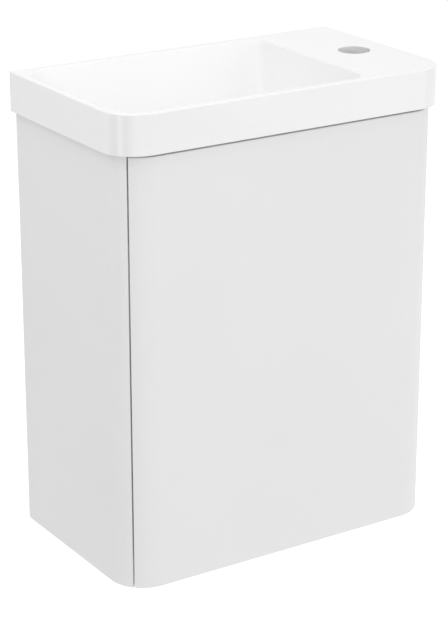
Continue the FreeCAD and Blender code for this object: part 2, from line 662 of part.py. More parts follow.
# Hinges: a cup let into the door, a pin through the cup, a cranked arm that turns on the pin,
# and a mounting plate on the right side panel.
cup_screws = []
plate_screws = []
arm_screws = []
flange_back = "(Places.door_back + Sizes.flange_thick)"
well_half = "(Sizes.arm_width / 2 + Sizes.well_play)"
well_base = "(Places.door_back - Sizes.cup_depth + Sizes.cup_base)"
well_depth = f"({flange_back} - {well_base})"
inner_round = "(Sizes.cup_round - 2 * Sizes.cup_wall)"
for level_name, level in LEVELS:
    recess = rod(f"cup_recess_{level_name}", "y",
                 ("Places.cup_x", "Places.door_back - Sizes.cup_depth", level), "Sizes.cup_round",
                 "Sizes.cup_depth")
    flange = rod(f"cup_flange_{level_name}", "y", ("Places.cup_x", "Places.door_back", level),
                 "Sizes.flange_round", "Sizes.flange_thick")
    wings = box(f"cup_wings_{level_name}", ("Places.cup_x - Sizes.wing_width / 2", "Places.door_back",
                                            f"{level} - Sizes.wing_height / 2"),
                ("Sizes.wing_width", "Sizes.flange_thick", "Sizes.wing_height"))
    well_bar = box(f"well_bar_{level_name}",
                   (f"Places.cup_x - {inner_round} / 2", well_base, f"{level} - {well_half}"),
                   (inner_round, well_depth, f"2 * {well_half}"))
    well_bore = rod(f"well_bore_{level_name}", "y", ("Places.cup_x", well_base, level), inner_round,
                    well_depth)
    well = common(f"cup_well_{level_name}", well_bar, well_bore)
    pin_start = ("Places.pivot_x", "Places.pivot_y", f"{level} - Sizes.pin_length / 2")
    pin = rod(f"pin_{level_name}", "z", pin_start, "Sizes.pin_bore", "Sizes.pin_length")
    shanks = []
    for number, sign in enumerate("-+"):
        spot = ("Places.cup_x", flange_back, f"{level} {sign} Sizes.cup_screw_spacing / 2")
        finished, shank = screw(f"cup_{level_name}_{number}", "y", spot, -1, "Sizes.cup_screw_length")
        cup_screws.append(finished)
        shanks.append(shank)
    cup_solid = fuse(f"cup_solid_{level_name}", recess, flange, wings)
    node(cut(f"hinge_cup_{level_name}", cup_solid, well, pin, *shanks), f"hinge_cup_{level_name}")
    node(pin, f"hinge_pin_{level_name}")
    door_tools += [recess, *shanks]

    blank = add("PartDesign::Body", f"arm_blank_{level_name}")
    half = "Sizes.arm_thick / 2"
    strip = outline(blank, f"arm_strip_{level_name}", f"{level} - Sizes.arm_width / 2", [
        ("Places.neck_x", f"Places.pivot_y - {half}"),
        ("Places.pivot_x", f"Places.pivot_y - {half}"),
        ("Places.pivot_x", f"Places.pivot_y + {half}"),
        ("Places.neck_x + Sizes.arm_thick", f"Places.pivot_y + {half}"),
        ("Places.neck_x + Sizes.arm_thick", "Places.heel_line"),
        ("Places.base_x", "Places.heel_line"),
        ("Places.base_x", "Places.arm_end"),
        ("Places.base_x - Sizes.arm_thick", "Places.arm_end"),
        ("Places.base_x - Sizes.arm_thick", "Places.heel_line + Sizes.arm_thick"),
        ("Places.neck_x", "Places.heel_line + Sizes.arm_thick"),
    ])
    pad(blank, strip, f"arm_pad_{level_name}", "Sizes.arm_width")
    neck, base = value("Places.neck_x"), value("Places.base_x")
    thick, crank, pivot = value("Sizes.arm_thick"), value("Places.heel_line"), value("Places.pivot_y")
    outer_bends = [(neck, pivot - thick / 2), (neck, crank + thick), (base, crank)]
    inner_bends = [(neck + thick, pivot + thick / 2), (neck + thick, crank), (base - thick, crank + thick)]
    soften(blank, f"arm_bends_out_{level_name}", "Sizes.bend_inside + Sizes.arm_thick",
           lambda edge: upright_at(edge, outer_bends))
    soften(blank, f"arm_bends_in_{level_name}", "Sizes.bend_inside",
           lambda edge: upright_at(edge, inner_bends))
    eye_start = ("Places.pivot_x", "Places.pivot_y", f"{level} - Sizes.arm_width / 2")
    eye = rod(f"arm_eye_{level_name}", "z", eye_start, "Sizes.eye_round", "Sizes.arm_width")
    bore = rod(f"arm_bore_{level_name}", "z", eye_start, "Sizes.pin_bore + 2 * Sizes.pin_play",
               "Sizes.arm_width")
    arm_seat = ("Places.base_x - Sizes.arm_thick", "Places.arm_end - Sizes.arm_screw_inset", level)
    finished, arm_shank = screw(f"arm_{level_name}", "x", arm_seat, 1, "Sizes.arm_thick + Sizes.base_thick")
    arm_screws.append(finished)
    node(cut(f"hinge_arm_{level_name}", fuse(f"arm_solid_{level_name}", blank, eye), bore, arm_shank),
         f"hinge_arm_{level_name}")

    base_half = "(Sizes.arm_width / 2 + Sizes.base_margin)"
    spine = box(f"base_spine_{level_name}",
                ("Places.base_x", "Places.base_y - Sizes.base_ahead", f"{level} - {base_half}"),
                ("Sizes.base_thick", "Sizes.base_ahead + Sizes.base_behind", f"2 * {base_half}"))
    base_wings = box(f"base_wings_{level_name}",
                     ("Places.base_x", "Places.base_y - Sizes.base_wing_width / 2",
                      f"{level} - Sizes.base_wing_height / 2"),
                     ("Sizes.base_thick", "Sizes.base_wing_width", "Sizes.base_wing_height"))
    base_shanks = [arm_shank]
    for number, sign in enumerate("-+"):
        spot = ("Places.base_x", "Places.base_y", f"{level} {sign} Sizes.base_screw_spacing / 2")
        finished, shank = screw(f"base_{level_name}_{number}", "x", spot, 1,
                                "Sizes.base_thick + Sizes.panel_screw_bite")
        plate_screws.append(finished)
        base_shanks.append(shank)
        side_tools["right"].append(shank)
    node(cut(f"hinge_plate_{level_name}", fuse(f"base_solid_{level_name}", spine, base_wings), *base_shanks),
         f"hinge_plate_{level_name}")
node(group("cup_screws", cup_screws), "cup_screws")
node(group("plate_screws", plate_screws), "plate_screws")
node(group("arm_screws", arm_screws), "arm_screws")

# Magnetic catch on the left side panel, strike plate on the door, buffers on the floor panel.
catch_block = side_box("catch_block", -1, "Places.inner - Sizes.catch_width", "Places.inner",
                       ("Places.catch_front", "Places.catch_z - Sizes.catch_height / 2"),
                       ("Sizes.catch_depth", "Sizes.catch_height"))
foot_y = "(Places.catch_front + Sizes.catch_depth - Sizes.catch_foot_depth)"
catch_foot = side_box("catch_foot", -1, "Places.inner - Sizes.catch_foot_thick", "Places.inner",
                      (foot_y, "Places.catch_z - Sizes.catch_foot_height / 2"),
                      ("Sizes.catch_foot_depth", "Sizes.catch_foot_height"))
magnet = box("magnet", ("Places.strike_x - Sizes.magnet_width / 2", "Places.catch_front",
                        "Places.catch_z - Sizes.magnet_height / 2"),
             ("Sizes.magnet_width", "Sizes.magnet_depth", "Sizes.magnet_height"))
catch_screws = []
catch_shanks = []
for number, sign in enumerate("-+"):
    spot = ("Sizes.catch_foot_thick - Places.inner", f"{foot_y} + Sizes.catch_foot_depth / 2",
            f"Places.catch_z {sign} Sizes.catch_screw_spacing / 2")
    finished, shank = screw(f"catch_{number}", "x", spot, -1,
                            "Sizes.catch_foot_thick + Sizes.panel_screw_bite")
    catch_screws.append(finished)
    catch_shanks.append(shank)
side_tools["left"] += catch_shanks
node(cut("catch_body", fuse("catch_solid", catch_block, catch_foot), magnet, *catch_shanks), "catch_body")
node(magnet, "catch_magnet")
node(group("catch_screws", catch_screws), "catch_screws")

strike_disc = rod("strike_disc", "y", ("Places.strike_x", "Places.door_back", "Places.catch_z"),
                  "Sizes.strike_round", "Sizes.strike_thick")
strike_shank = rod("strike_shank", "y",
                   ("Places.strike_x", "Places.door_back - Sizes.strike_screw_bite", "Places.catch_z"),
                   "Sizes.screw_shank", "Sizes.strike_screw_bite")
strike_head = add("Part::Cone", "strike_head")
strike_head.setExpression("Radius1", "Sizes.screw_shank / 2")
strike_head.setExpression("Radius2", "Sizes.screw_head / 2")
strike_head.setExpression("Height", "Sizes.strike_thick")
strike_head.Placement = Placement(Vector(), TURNS["y"])
place(strike_head, ("Places.strike_x", "Places.door_back", "Places.catch_z"))
node(cut("strike_plate", strike_disc, strike_head), "strike_plate")
node(fuse("strike_screw", strike_shank, strike_head), "strike_screw")
door_tools.append(strike_shank)
buffer_front = "(Places.door_back + Sizes.buffer_play)"
node(group("door_buffers", [
    rod(f"buffer_{name}", "y", (f"{sign} Sizes.buffer_spacing / 2", buffer_front, floor_level),
        "Sizes.buffer_round", f"Places.floor_front - {buffer_front}")
    for name, sign in (("left", "-1 *"), ("right", "1 *"))
]), "door_buffers")
node(cut("door", door_blank, *door_tools), "door")

# Hangers in the upper back corners, whose hooks hang on two wall plates.
hanger_front = "(Places.back_front - Sizes.hanger_depth)"
hanger_near = "Places.inner - Sizes.hanger_width"
hanger_screws = []
hook_half = "Sizes.hook_thick / 2"
tooth_front = "(Sizes.tooth_play - Sizes.lip_offset)"
lip_front = "(-Sizes.lip_offset - Sizes.wall_plate_thick)"
for side_name, side in SIDES:
    case = side_box(f"hanger_case_{side_name}", side, hanger_near, "Places.inner",
                    (hanger_front, "Places.hanger_under"), ("Sizes.hanger_depth", "Sizes.hanger_height"))
    hook_near, hook_far = f"Places.hook_x - {hook_half}", f"Places.hook_x + {hook_half}"
    bar = side_box(f"hook_bar_{side_name}", side, hook_near, hook_far,
                   ("Places.back_front - Sizes.hook_bite", "Places.hook_under"),
                   (f"{tooth_front} + Sizes.tooth_thick - Places.back_front + Sizes.hook_bite",
                    "Sizes.hook_height"))
    tooth = side_box(f"hook_tooth_{side_name}", side, hook_near, hook_far,
                     (tooth_front, "Places.hook_under - Sizes.tooth_drop"),
                     ("Sizes.tooth_thick", "Sizes.tooth_drop + Sizes.hook_height"))
    shanks = []
    levels = ("Places.hanger_under + Sizes.hanger_screw_inset",
              "Places.hanger_top - Sizes.hanger_screw_inset")
    for number, z in enumerate(levels):
        seat = hanger_near if side > 0 else f"-({hanger_near})"
        spot = (seat, f"{hanger_front} + Sizes.hanger_depth / 2", z)
        finished, shank = screw(f"hanger_{side_name}_{number}", "x", spot, side,
                                "Sizes.hanger_width + Sizes.panel_screw_bite")
        hanger_screws.append(finished)
        shanks.append(shank)
    side_tools[side_name] += shanks
    node(cut(f"hanger_body_{side_name}", case, bar, *shanks), f"hanger_body_{side_name}")
    node(fuse(f"hanger_hook_{side_name}", bar, tooth), f"hanger_hook_{side_name}")

    plate_far = "Places.inner - Sizes.wall_plate_play"
    plate_near = f"{plate_far} - Sizes.wall_plate_width"
    flat = side_box(f"plate_flat_{side_name}", side, plate_near, plate_far,
                    ("-Sizes.wall_plate_thick", "-Places.flat_top"),
                    ("Sizes.wall_plate_thick", "Sizes.wall_plate_height"))
    web = side_box(f"plate_web_{side_name}", side, plate_near, plate_far,
                   (lip_front, "Places.flat_top - Sizes.wall_plate_thick"),
                   (f"-{lip_front}", "Sizes.wall_plate_thick"))
    lip = side_box(f"plate_lip_{side_name}", side, plate_near, plate_far,
                   (lip_front, "Places.flat_top - Sizes.wall_plate_thick"),
                   ("Sizes.wall_plate_thick", "Sizes.lip_rise + Sizes.wall_plate_thick"))
    hole_x = f"({plate_near} + Sizes.wall_hole_inset)"
    holes = [
        rod(f"wall_hole_{side_name}_{number}", "y",
            (f"{side} * {hole_x}", "-Sizes.wall_plate_thick", f"{sign} Sizes.wall_hole_spacing / 2"),
            "Sizes.wall_hole", "Sizes.wall_plate_thick")
        for number, sign in enumerate(("-1 *", "1 *"))
    ]
    node(cut(f"wall_plate_{side_name}", fuse(f"plate_solid_{side_name}", flat, web, lip), *holes),
         f"wall_plate_{side_name}")
node(group("hanger_screws", hanger_screws), "hanger_screws")
for side_name, side in SIDES:
    node(cut(f"side_panel_{side_name}", side_blanks[side_name], *side_tools[side_name]),
         f"side_panel_{side_name}")

doc.recompute()
failed = [item.Label for item in doc.Objects if {"Invalid", "Error"} & set(item.State)]
broken = [item.Label for item in nodes if item.Shape.isNull() or not item.Shape.isValid()]
if failed or broken:
    raise SystemExit(f"failed: {failed}, broken: {broken}")
os.makedirs("parts", exist_ok=True)
for item in nodes:
    item.Shape.exportStep(f"parts/{item.Label}.step")
print(len(nodes), "nodes written")
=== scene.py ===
import json
import math
import bmesh
import bpy
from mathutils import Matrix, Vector

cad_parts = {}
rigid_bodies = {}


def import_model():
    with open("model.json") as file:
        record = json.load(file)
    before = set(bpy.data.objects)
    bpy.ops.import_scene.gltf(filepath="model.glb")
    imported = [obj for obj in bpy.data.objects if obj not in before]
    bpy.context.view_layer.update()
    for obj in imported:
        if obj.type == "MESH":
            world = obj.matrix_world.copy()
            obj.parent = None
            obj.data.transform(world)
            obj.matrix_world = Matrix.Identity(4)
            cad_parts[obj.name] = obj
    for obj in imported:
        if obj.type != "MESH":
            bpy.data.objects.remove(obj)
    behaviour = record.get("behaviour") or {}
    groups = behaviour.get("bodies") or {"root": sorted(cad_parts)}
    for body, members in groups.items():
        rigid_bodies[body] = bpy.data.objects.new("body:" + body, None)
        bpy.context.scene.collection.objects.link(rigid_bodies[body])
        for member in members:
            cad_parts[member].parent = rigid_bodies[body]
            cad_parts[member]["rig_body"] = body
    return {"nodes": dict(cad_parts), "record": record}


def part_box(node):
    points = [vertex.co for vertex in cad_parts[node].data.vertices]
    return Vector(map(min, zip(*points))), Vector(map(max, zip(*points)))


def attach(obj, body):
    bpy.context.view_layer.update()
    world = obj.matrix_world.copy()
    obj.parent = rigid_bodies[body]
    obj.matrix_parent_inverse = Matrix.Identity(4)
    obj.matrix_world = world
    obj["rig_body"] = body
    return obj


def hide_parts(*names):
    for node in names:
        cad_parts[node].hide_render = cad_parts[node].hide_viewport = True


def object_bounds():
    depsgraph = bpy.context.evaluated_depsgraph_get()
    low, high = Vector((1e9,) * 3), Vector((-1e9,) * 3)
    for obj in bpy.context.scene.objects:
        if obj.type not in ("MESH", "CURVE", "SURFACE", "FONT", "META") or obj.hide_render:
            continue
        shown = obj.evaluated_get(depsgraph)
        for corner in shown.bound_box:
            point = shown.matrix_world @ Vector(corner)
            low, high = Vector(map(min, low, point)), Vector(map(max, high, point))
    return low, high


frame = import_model()
nodes = frame["nodes"]
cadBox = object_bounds()
cadCentre = (cadBox[0] + cadBox[1]) / 2
quarterTurn = math.pi / 2
white = (1, 1, 1, 1)
print("frame:", len(nodes), "nodes loaded")


# Small helpers for node trees

def startFinish(name):
    finish = bpy.data.materials.new(name)
    finish.use_nodes = True
    shader = finish.node_tree.nodes["Principled BSDF"]
    return finish, finish.node_tree, shader


def addNode(tree, kind, values=None, **settings):
    node = tree.nodes.new(kind)
    for key, setting in settings.items():
        setattr(node, key, setting)
    for key, value in (values or {}).items():
        node.inputs[key].default_value = value
    return node


def setSockets(shader, **sockets):
    for name, value in sockets.items():
        shader.inputs[name.replace("_", " ")].default_value = value


def objectCoords(tree, scale=(1, 1, 1)):
    coords = addNode(tree, "ShaderNodeTexCoord")
    mapping = addNode(tree, "ShaderNodeMapping", {"Scale": scale})
    tree.links.new(coords.outputs["Object"], mapping.inputs["Vector"])
    return mapping.outputs["Vector"]


def addNoise(tree, coords, scale=1.0, detail=2.0, uneven=0.5):
    noise = addNode(tree, "ShaderNodeTexNoise", {"Scale": scale, "Detail": detail, "Roughness": uneven})
    tree.links.new(coords, noise.inputs["Vector"])
    return noise.outputs["Fac"]


def addCells(tree, coords, scale, output):
    cells = addNode(tree, "ShaderNodeTexVoronoi", {"Scale": scale})
    tree.links.new(coords, cells.inputs["Vector"])
    return cells.outputs[output]


noiseRange = (0.3, 0.7)  # where most of a noise pattern's values lie


def spread(tree, source, low, high, fromLow=noiseRange[0], fromHigh=noiseRange[1]):
    ranged = addNode(tree, "ShaderNodeMapRange",
                     {"From Min": fromLow, "From Max": fromHigh, "To Min": low, "To Max": high})
    tree.links.new(source, ranged.inputs["Value"])
    return ranged.outputs["Result"]


def pickAxis(tree, coords, axis):
    split = addNode(tree, "ShaderNodeSeparateXYZ")
    tree.links.new(coords, split.inputs["Vector"])
    return split.outputs[axis]


def blendColours(tree, amount, first, second):
    mixed = addNode(tree, "ShaderNodeMix", data_type="RGBA")
    tree.links.new(amount, mixed.inputs["Factor"])
    for slotName, colour in (("A", first), ("B", second)):
        socket = next(s for s in mixed.inputs if s.name == slotName and s.type == "RGBA")
        if isinstance(colour, bpy.types.NodeSocket):
            tree.links.new(colour, socket)
        else:
            socket.default_value = (*colour, 1)
    return next(s for s in mixed.outputs if s.type == "RGBA")


# In a look, a pattern runs from "pale" to "deep" and over the pair "rough", and "bump" and "height" raise it

def tintBy(tree, shader, pattern, look, contrast=noiseRange):
    tint = blendColours(tree, spread(tree, pattern, 0, 1, *contrast), look["pale"], look["deep"])
    tree.links.new(tint, shader.inputs["Base Color"])
    tree.links.new(spread(tree, pattern, *look["rough"], *contrast), shader.inputs["Roughness"])


def raiseBy(tree, shader, pattern, look):
    bump = addNode(tree, "ShaderNodeBump", {"Strength": look["bump"], "Distance": look["height"]})
    tree.links.new(pattern, bump.inputs["Height"])
    tree.links.new(bump.outputs["Normal"], shader.inputs["Normal"])


# Finishes

glazeLook = {"pale": (0.955, 0.955, 0.953), "deep": (0.94, 0.941, 0.94), "rough": (0.07, 0.13), "cloud": 9,
             "ripple": 26, "rippleDetail": 1.0, "bump": 0.12, "height": 0.0006, "ior": 1.52, "coat": 0.3,
             "coatRough": 0.04, "clay": (0.79, 0.765, 0.72), "clayRough": 0.72,
             "bareEdge": (-0.0012, -0.0006)}


def glazeFinish():
    finish, tree, shader = startFinish("whiteGlaze")
    coords = objectCoords(tree)
    cloud = addNoise(tree, coords, glazeLook["cloud"])
    tint = blendColours(tree, spread(tree, cloud, 0, 1), glazeLook["pale"], glazeLook["deep"])
    # the back is ground to bare clay
    bare = spread(tree, pickAxis(tree, coords, "Y"), 0, 1, *glazeLook["bareEdge"])
    tree.links.new(blendColours(tree, bare, tint, glazeLook["clay"]), shader.inputs["Base Color"])
    rough = addNode(tree, "ShaderNodeMapRange", {"To Max": glazeLook["clayRough"]})
    tree.links.new(bare, rough.inputs["Value"])
    tree.links.new(spread(tree, cloud, *glazeLook["rough"]), rough.inputs["To Min"])
    tree.links.new(rough.outputs["Result"], shader.inputs["Roughness"])
    tree.links.new(spread(tree, bare, glazeLook["coat"], 0, 0, 1), shader.inputs["Coat Weight"])
    raiseBy(tree, shader, addNoise(tree, coords, glazeLook["ripple"], glazeLook["rippleDetail"]), glazeLook)
    setSockets(shader, IOR=glazeLook["ior"], Coat_Roughness=glazeLook["coatRough"])
    return finish


lacquerLook = {"pale": (0.882, 0.882, 0.882), "deep": (0.868, 0.868, 0.868), "rough": (0.36, 0.44),
               "cloud": 5, "peel": 420, "peelDetail": 1.0, "bump": 0.1, "height": 0.00025, "ior": 1.5,
               "coat": 0.1, "coatRough": 0.2}


def lacquerFinish():
    finish, tree, shader = startFinish("whiteSatinLacquer")
    coords = objectCoords(tree)
    tintBy(tree, shader, addNoise(tree, coords, lacquerLook["cloud"]), lacquerLook)
    # orange peel of sprayed lacquer
    peel = addNoise(tree, coords, lacquerLook["peel"], lacquerLook["peelDetail"])
    raiseBy(tree, shader, peel, lacquerLook)
    setSockets(shader, IOR=lacquerLook["ior"], Coat_Weight=lacquerLook["coat"],
               Coat_Roughness=lacquerLook["coatRough"])
    return finish


boardLook = {"pale": (0.85, 0.85, 0.845), "deep": (0.82, 0.82, 0.815), "rough": (0.42, 0.55), "cloud": 14,
             "cloudDetail": 3.0, "pearl": 900, "bump": 0.15, "height": 0.0004}


def boardFinish():
    finish, tree, shader = startFinish("whitePearlFoil")
    coords = objectCoords(tree)
    tintBy(tree, shader, addNoise(tree, coords, boardLook["cloud"], boardLook["cloudDetail"]), boardLook)
    pearl = addCells(tree, coords, boardLook["pearl"], "Distance")  # pressed pearl texture of the foil
    raiseBy(tree, shader, pearl, boardLook)
    return finish


hardboardLook = {"paint": (0.83, 0.83, 0.82), "paintDeep": (0.79, 0.79, 0.78), "cloud": 18,
                 "cloudDetail": 3.0, "fibre": (0.34, 0.215, 0.125), "fibreDeep": (0.265, 0.16, 0.09),
                 "strands": (420, 420, 300), "detail": 4.0, "uneven": 0.65, "rough": (0.5, 0.8),
                 "bump": 0.25, "height": 0.0005, "skin": 0.0004, "edge": 0.0002}


def hardboardFinish():
    finish, tree, shader = startFinish("paintedHardboard")
    coords = objectCoords(tree)
    cloud = addNoise(tree, coords, hardboardLook["cloud"], hardboardLook["cloudDetail"])
    paint = blendColours(tree, spread(tree, cloud, 0, 1), hardboardLook["paint"], hardboardLook["paintDeep"])
    strands = addNoise(tree, objectCoords(tree, hardboardLook["strands"]), detail=hardboardLook["detail"],
                       uneven=hardboardLook["uneven"])
    fibre = blendColours(tree, spread(tree, strands, 0, 1), hardboardLook["fibre"],
                         hardboardLook["fibreDeep"])
    # the paint is on the face towards the door, the rest is bare fibre
    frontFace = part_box("back_panel")[0].y + hardboardLook["skin"]
    bare = spread(tree, pickAxis(tree, coords, "Y"), 0, 1, frontFace, frontFace + hardboardLook["edge"])
    tree.links.new(blendColours(tree, bare, paint, fibre), shader.inputs["Base Color"])
    tree.links.new(spread(tree, strands, *hardboardLook["rough"]), shader.inputs["Roughness"])
    raiseBy(tree, shader, strands, hardboardLook)
    return finish


def grainFinish(name, look, metallic):
    finish, tree, shader = startFinish(name)
    grain = addNoise(tree, objectCoords(tree, look["grain"]), detail=look["detail"], uneven=look["uneven"])
    tintBy(tree, shader, grain, look)
    raiseBy(tree, shader, grain, look)
    setSockets(shader, Metallic=metallic)
    return finish


nickelLook = {"pale": (0.74, 0.725, 0.70), "deep": (0.63, 0.615, 0.59), "rough": (0.2, 0.34),
              "grain": (160, 160, 900), "detail": 3.0, "uneven": 0.6, "bump": 0.1, "height": 0.0002}
zincLook = {"pale": (0.72, 0.735, 0.76), "deep": (0.56, 0.575, 0.61), "rough": (0.3, 0.46),
            "grain": (420, 420, 420), "detail": 3.0, "uneven": 0.6, "bump": 0.1, "height": 0.0002}
beechLook = {"pale": (0.70, 0.51, 0.33), "deep": (0.52, 0.34, 0.19), "rough": (0.5, 0.75),
             "grain": (60, 900, 900), "detail": 4.0, "uneven": 0.6, "bump": 0.2, "height": 0.0004}
ferriteLook = {"pale": (0.11, 0.11, 0.115), "deep": (0.05, 0.05, 0.055), "rough": (0.5, 0.75),
               "grit": 1100, "detail": 4.0, "uneven": 0.65, "bump": 0.3, "height": 0.0004}


def ferriteFinish():
    finish, tree, shader = startFinish("sinteredFerrite")
    grit = addNoise(tree, objectCoords(tree), ferriteLook["grit"], ferriteLook["detail"],
                    ferriteLook["uneven"])
    tintBy(tree, shader, grit, ferriteLook)
    raiseBy(tree, shader, grit, ferriteLook)
    return finish


galvanisedLook = {"pale": (0.68, 0.70, 0.72), "deep": (0.44, 0.46, 0.49), "rough": (0.34, 0.55),
                  "spangle": 170, "contrast": (0.15, 0.85), "bump": 0.08, "height": 0.0003}


def galvanisedFinish():
    finish, tree, shader = startFinish("galvanisedSteel")
    spangle = addNode(tree, "ShaderNodeRGBToBW")
    cells = addCells(tree, objectCoords(tree), galvanisedLook["spangle"], "Color")
    tree.links.new(cells, spangle.inputs["Color"])
    flake = spangle.outputs["Val"]
    tintBy(tree, shader, flake, galvanisedLook, galvanisedLook["contrast"])
    raiseBy(tree, shader, flake, galvanisedLook)
    setSockets(shader, Metallic=1.0)
    return finish


plasticLook = {"pale": (0.84, 0.84, 0.83), "deep": (0.80, 0.80, 0.79), "rough": (0.38, 0.5), "cloud": 60,
               "grit": 1400, "bump": 0.12, "height": 0.0003}


def plasticFinish():
    finish, tree, shader = startFinish("mouldedWhitePlastic")
    coords = objectCoords(tree)
    tintBy(tree, shader, addNoise(tree, coords, plasticLook["cloud"]), plasticLook)
    raiseBy(tree, shader, addNoise(tree, coords, plasticLook["grit"]), plasticLook)
    return finish


rubberLook = {"pale": (0.86, 0.87, 0.87), "deep": (0.74, 0.76, 0.77), "rough": (0.28, 0.42), "cloud": 500,
              "clear": 0.55, "ior": 1.45}


def rubberFinish():
    finish, tree, shader = startFinish("clearSoftRubber")
    tintBy(tree, shader, addNoise(tree, objectCoords(tree), rubberLook["cloud"]), rubberLook)
    setSockets(shader, Transmission_Weight=rubberLook["clear"], IOR=rubberLook["ior"])
    return finish


finishes = {
    "glaze": glazeFinish(),
    "white_lacquer": lacquerFinish(),
    "white_board": boardFinish(),
    "white_hardboard": hardboardFinish(),
    "beech": grainFinish("bareBeech", beechLook, metallic=0.0),
    "nickel_plate": grainFinish("brightNickel", nickelLook, metallic=1.0),
    "zinc_steel": grainFinish("zincPlatedSteel", zincLook, metallic=1.0),
    "galvanised_steel": galvanisedFinish(),
    "white_plastic": plasticFinish(),
    "ferrite": ferriteFinish(),
    "clear_rubber": rubberFinish(),
}
slots = {part["node"]: part["material_slot"] for part in frame["record"]["subparts"]}
for name, node in nodes.items():
    node.data.materials.clear()
    node.data.materials.append(finishes[slots[name]])
print("finishes:", len(finishes), "materials on", len(nodes), "nodes")


# Boards, pressings and mouldings get the softened edges that the real ones have

def pickOnly(piece):
    bpy.ops.object.select_all(action="DESELECT")
    bpy.context.view_layer.objects.active = piece
    piece.select_set(True)


def camelName(name, ending):
    first, *others = name.split("_")
    return first + "".join(word.capitalize() for word in others) + ending


def standFor(piece, *names):
    piece.data.materials.clear()
    piece.data.materials.append(finishes[slots[names[0]]])
    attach(piece, nodes[names[0]]["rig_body"])
    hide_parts(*names)


# "ease" is the width of the softened edge, "shortest" the shortest edge that gets one, and "over" the degrees
# that it has to turn
easeSets = {
    "lacquered": {"nodes": ("door", "side_panel_left", "side_panel_right"), "ease": 0.0008, "shortest": 0.06,
                  "over": 75},
    "foiled": {"nodes": ("floor_panel", "back_rail", "shelf"), "ease": 0.0005, "shortest": 0.003, "over": 35},
    "hardboard": {"nodes": ("back_panel",), "ease": 0.0003, "shortest": 0.003, "over": 35},
    "moulded": {"nodes": ("hanger_body_left", "hanger_body_right"), "ease": 0.0012, "shortest": 0.003,
                "over": 35},
    "catch": {"nodes": ("catch_body",), "ease": 0.0006, "shortest": 0.002, "over": 35},
    "pressed": {"nodes": ("hanger_hook_left", "hanger_hook_right", "wall_plate_left", "wall_plate_right"),
                "ease": 0.0004, "shortest": 0.001, "over": 35},
    "plated": {"nodes": ("hinge_plate_upper", "hinge_plate_lower", "hinge_arm_upper", "hinge_arm_lower",
                         "hinge_cup_upper", "hinge_cup_lower"),
               "ease": 0.0003, "shortest": 0.001, "over": 35},
    "sintered": {"nodes": ("catch_magnet",), "ease": 0.0003, "shortest": 0.001, "over": 35},
    "turned": {"nodes": ("floor_dowels", "rail_dowels"), "ease": 0.0004, "shortest": 0.0002, "over": 35},
}
easeSteps = 2
roundSection = 0.5  # profile of a bevel with a round section
edgeTurn = math.radians(35)  # an edge is shaded sharp above this
flatTurn = math.radians(0.5)  # faces that turn less than this become one
weldWithin = 2e-6


def easedCopy(name, ease, shortest, over):
    piece = bpy.data.objects.new(camelName(name, "Eased"), nodes[name].data.copy())
    bpy.context.collection.objects.link(piece)
    pickOnly(piece)
    bpy.ops.object.mode_set(mode="EDIT")
    bpy.ops.mesh.select_all(action="SELECT")
    bpy.ops.mesh.remove_doubles(threshold=weldWithin)
    bpy.ops.mesh.customdata_custom_splitnormals_clear()
    bpy.ops.mesh.dissolve_limited(angle_limit=flatTurn)
    bpy.ops.mesh.select_all(action="DESELECT")
    bpy.ops.mesh.select_mode(type="EDGE")
    shape = bmesh.from_edit_mesh(piece.data)
    for edge in shape.edges:
        edge.select = edge.calc_face_angle_signed(0) > math.radians(over) and edge.calc_length() > shortest
    bmesh.update_edit_mesh(piece.data)
    bpy.ops.mesh.bevel(offset=ease, segments=easeSteps, profile=roundSection, clamp_overlap=False)
    bpy.ops.mesh.select_all(action="SELECT")
    bpy.ops.mesh.remove_doubles(threshold=weldWithin)
    bpy.ops.object.mode_set(mode="OBJECT")
    bpy.ops.object.shade_smooth_by_angle(angle=edgeTurn)
    levels = piece.modifiers.new("levelFaces", "WEIGHTED_NORMAL")
    levels.keep_sharp = True
    bpy.ops.object.modifier_apply(modifier=levels.name)
    standFor(piece, name)


for easeSet in easeSets.values():
    for name in easeSet["nodes"]:
        easedCopy(name, easeSet["ease"], easeSet["shortest"], easeSet["over"])
print("edges:", sum(len(easeSet["nodes"]) for easeSet in easeSets.values()), "pieces eased")


# Helpers for the turned fittings

nearFace = 1e-5  # a corner this close to a face lies on it


def makeDisc(name, sides, radius, depth, middle):
    bpy.ops.object.select_all(action="DESELECT")
    bpy.ops.mesh.primitive_cylinder_add(vertices=sides, radius=radius, depth=depth, location=middle,
                                        rotation=(quarterTurn, 0, 0))
    disc = bpy.context.object
    disc.name = name
    bpy.ops.object.transform_apply(location=True, rotation=True, scale=True)
    return disc


def pickEdges(piece, test):
    bpy.ops.mesh.select_mode(type="EDGE")
    bpy.ops.mesh.select_all(action="DESELECT")
    shape = bmesh.from_edit_mesh(piece.data)
    for edge in shape.edges:
        edge.select = all(test(corner.co) for corner in edge.verts)
    bmesh.update_edit_mesh(piece.data)


def twinOf(piece, name, step):
    pickOnly(piece)
    bpy.ops.object.duplicate()
    twin = bpy.context.object
    twin.name = name
    bpy.ops.object.mode_set(mode="EDIT")
    bpy.ops.mesh.select_all(action="SELECT")
    bpy.ops.transform.translate(value=step)
    bpy.ops.object.mode_set(mode="OBJECT")
    return twin


# Soft domed buffers on the front edge of the floor panel

bufferSet = {"sides": 40, "dome": 0.0026, "domeSteps": 5, "foot": 0.0004, "footSteps": 2}


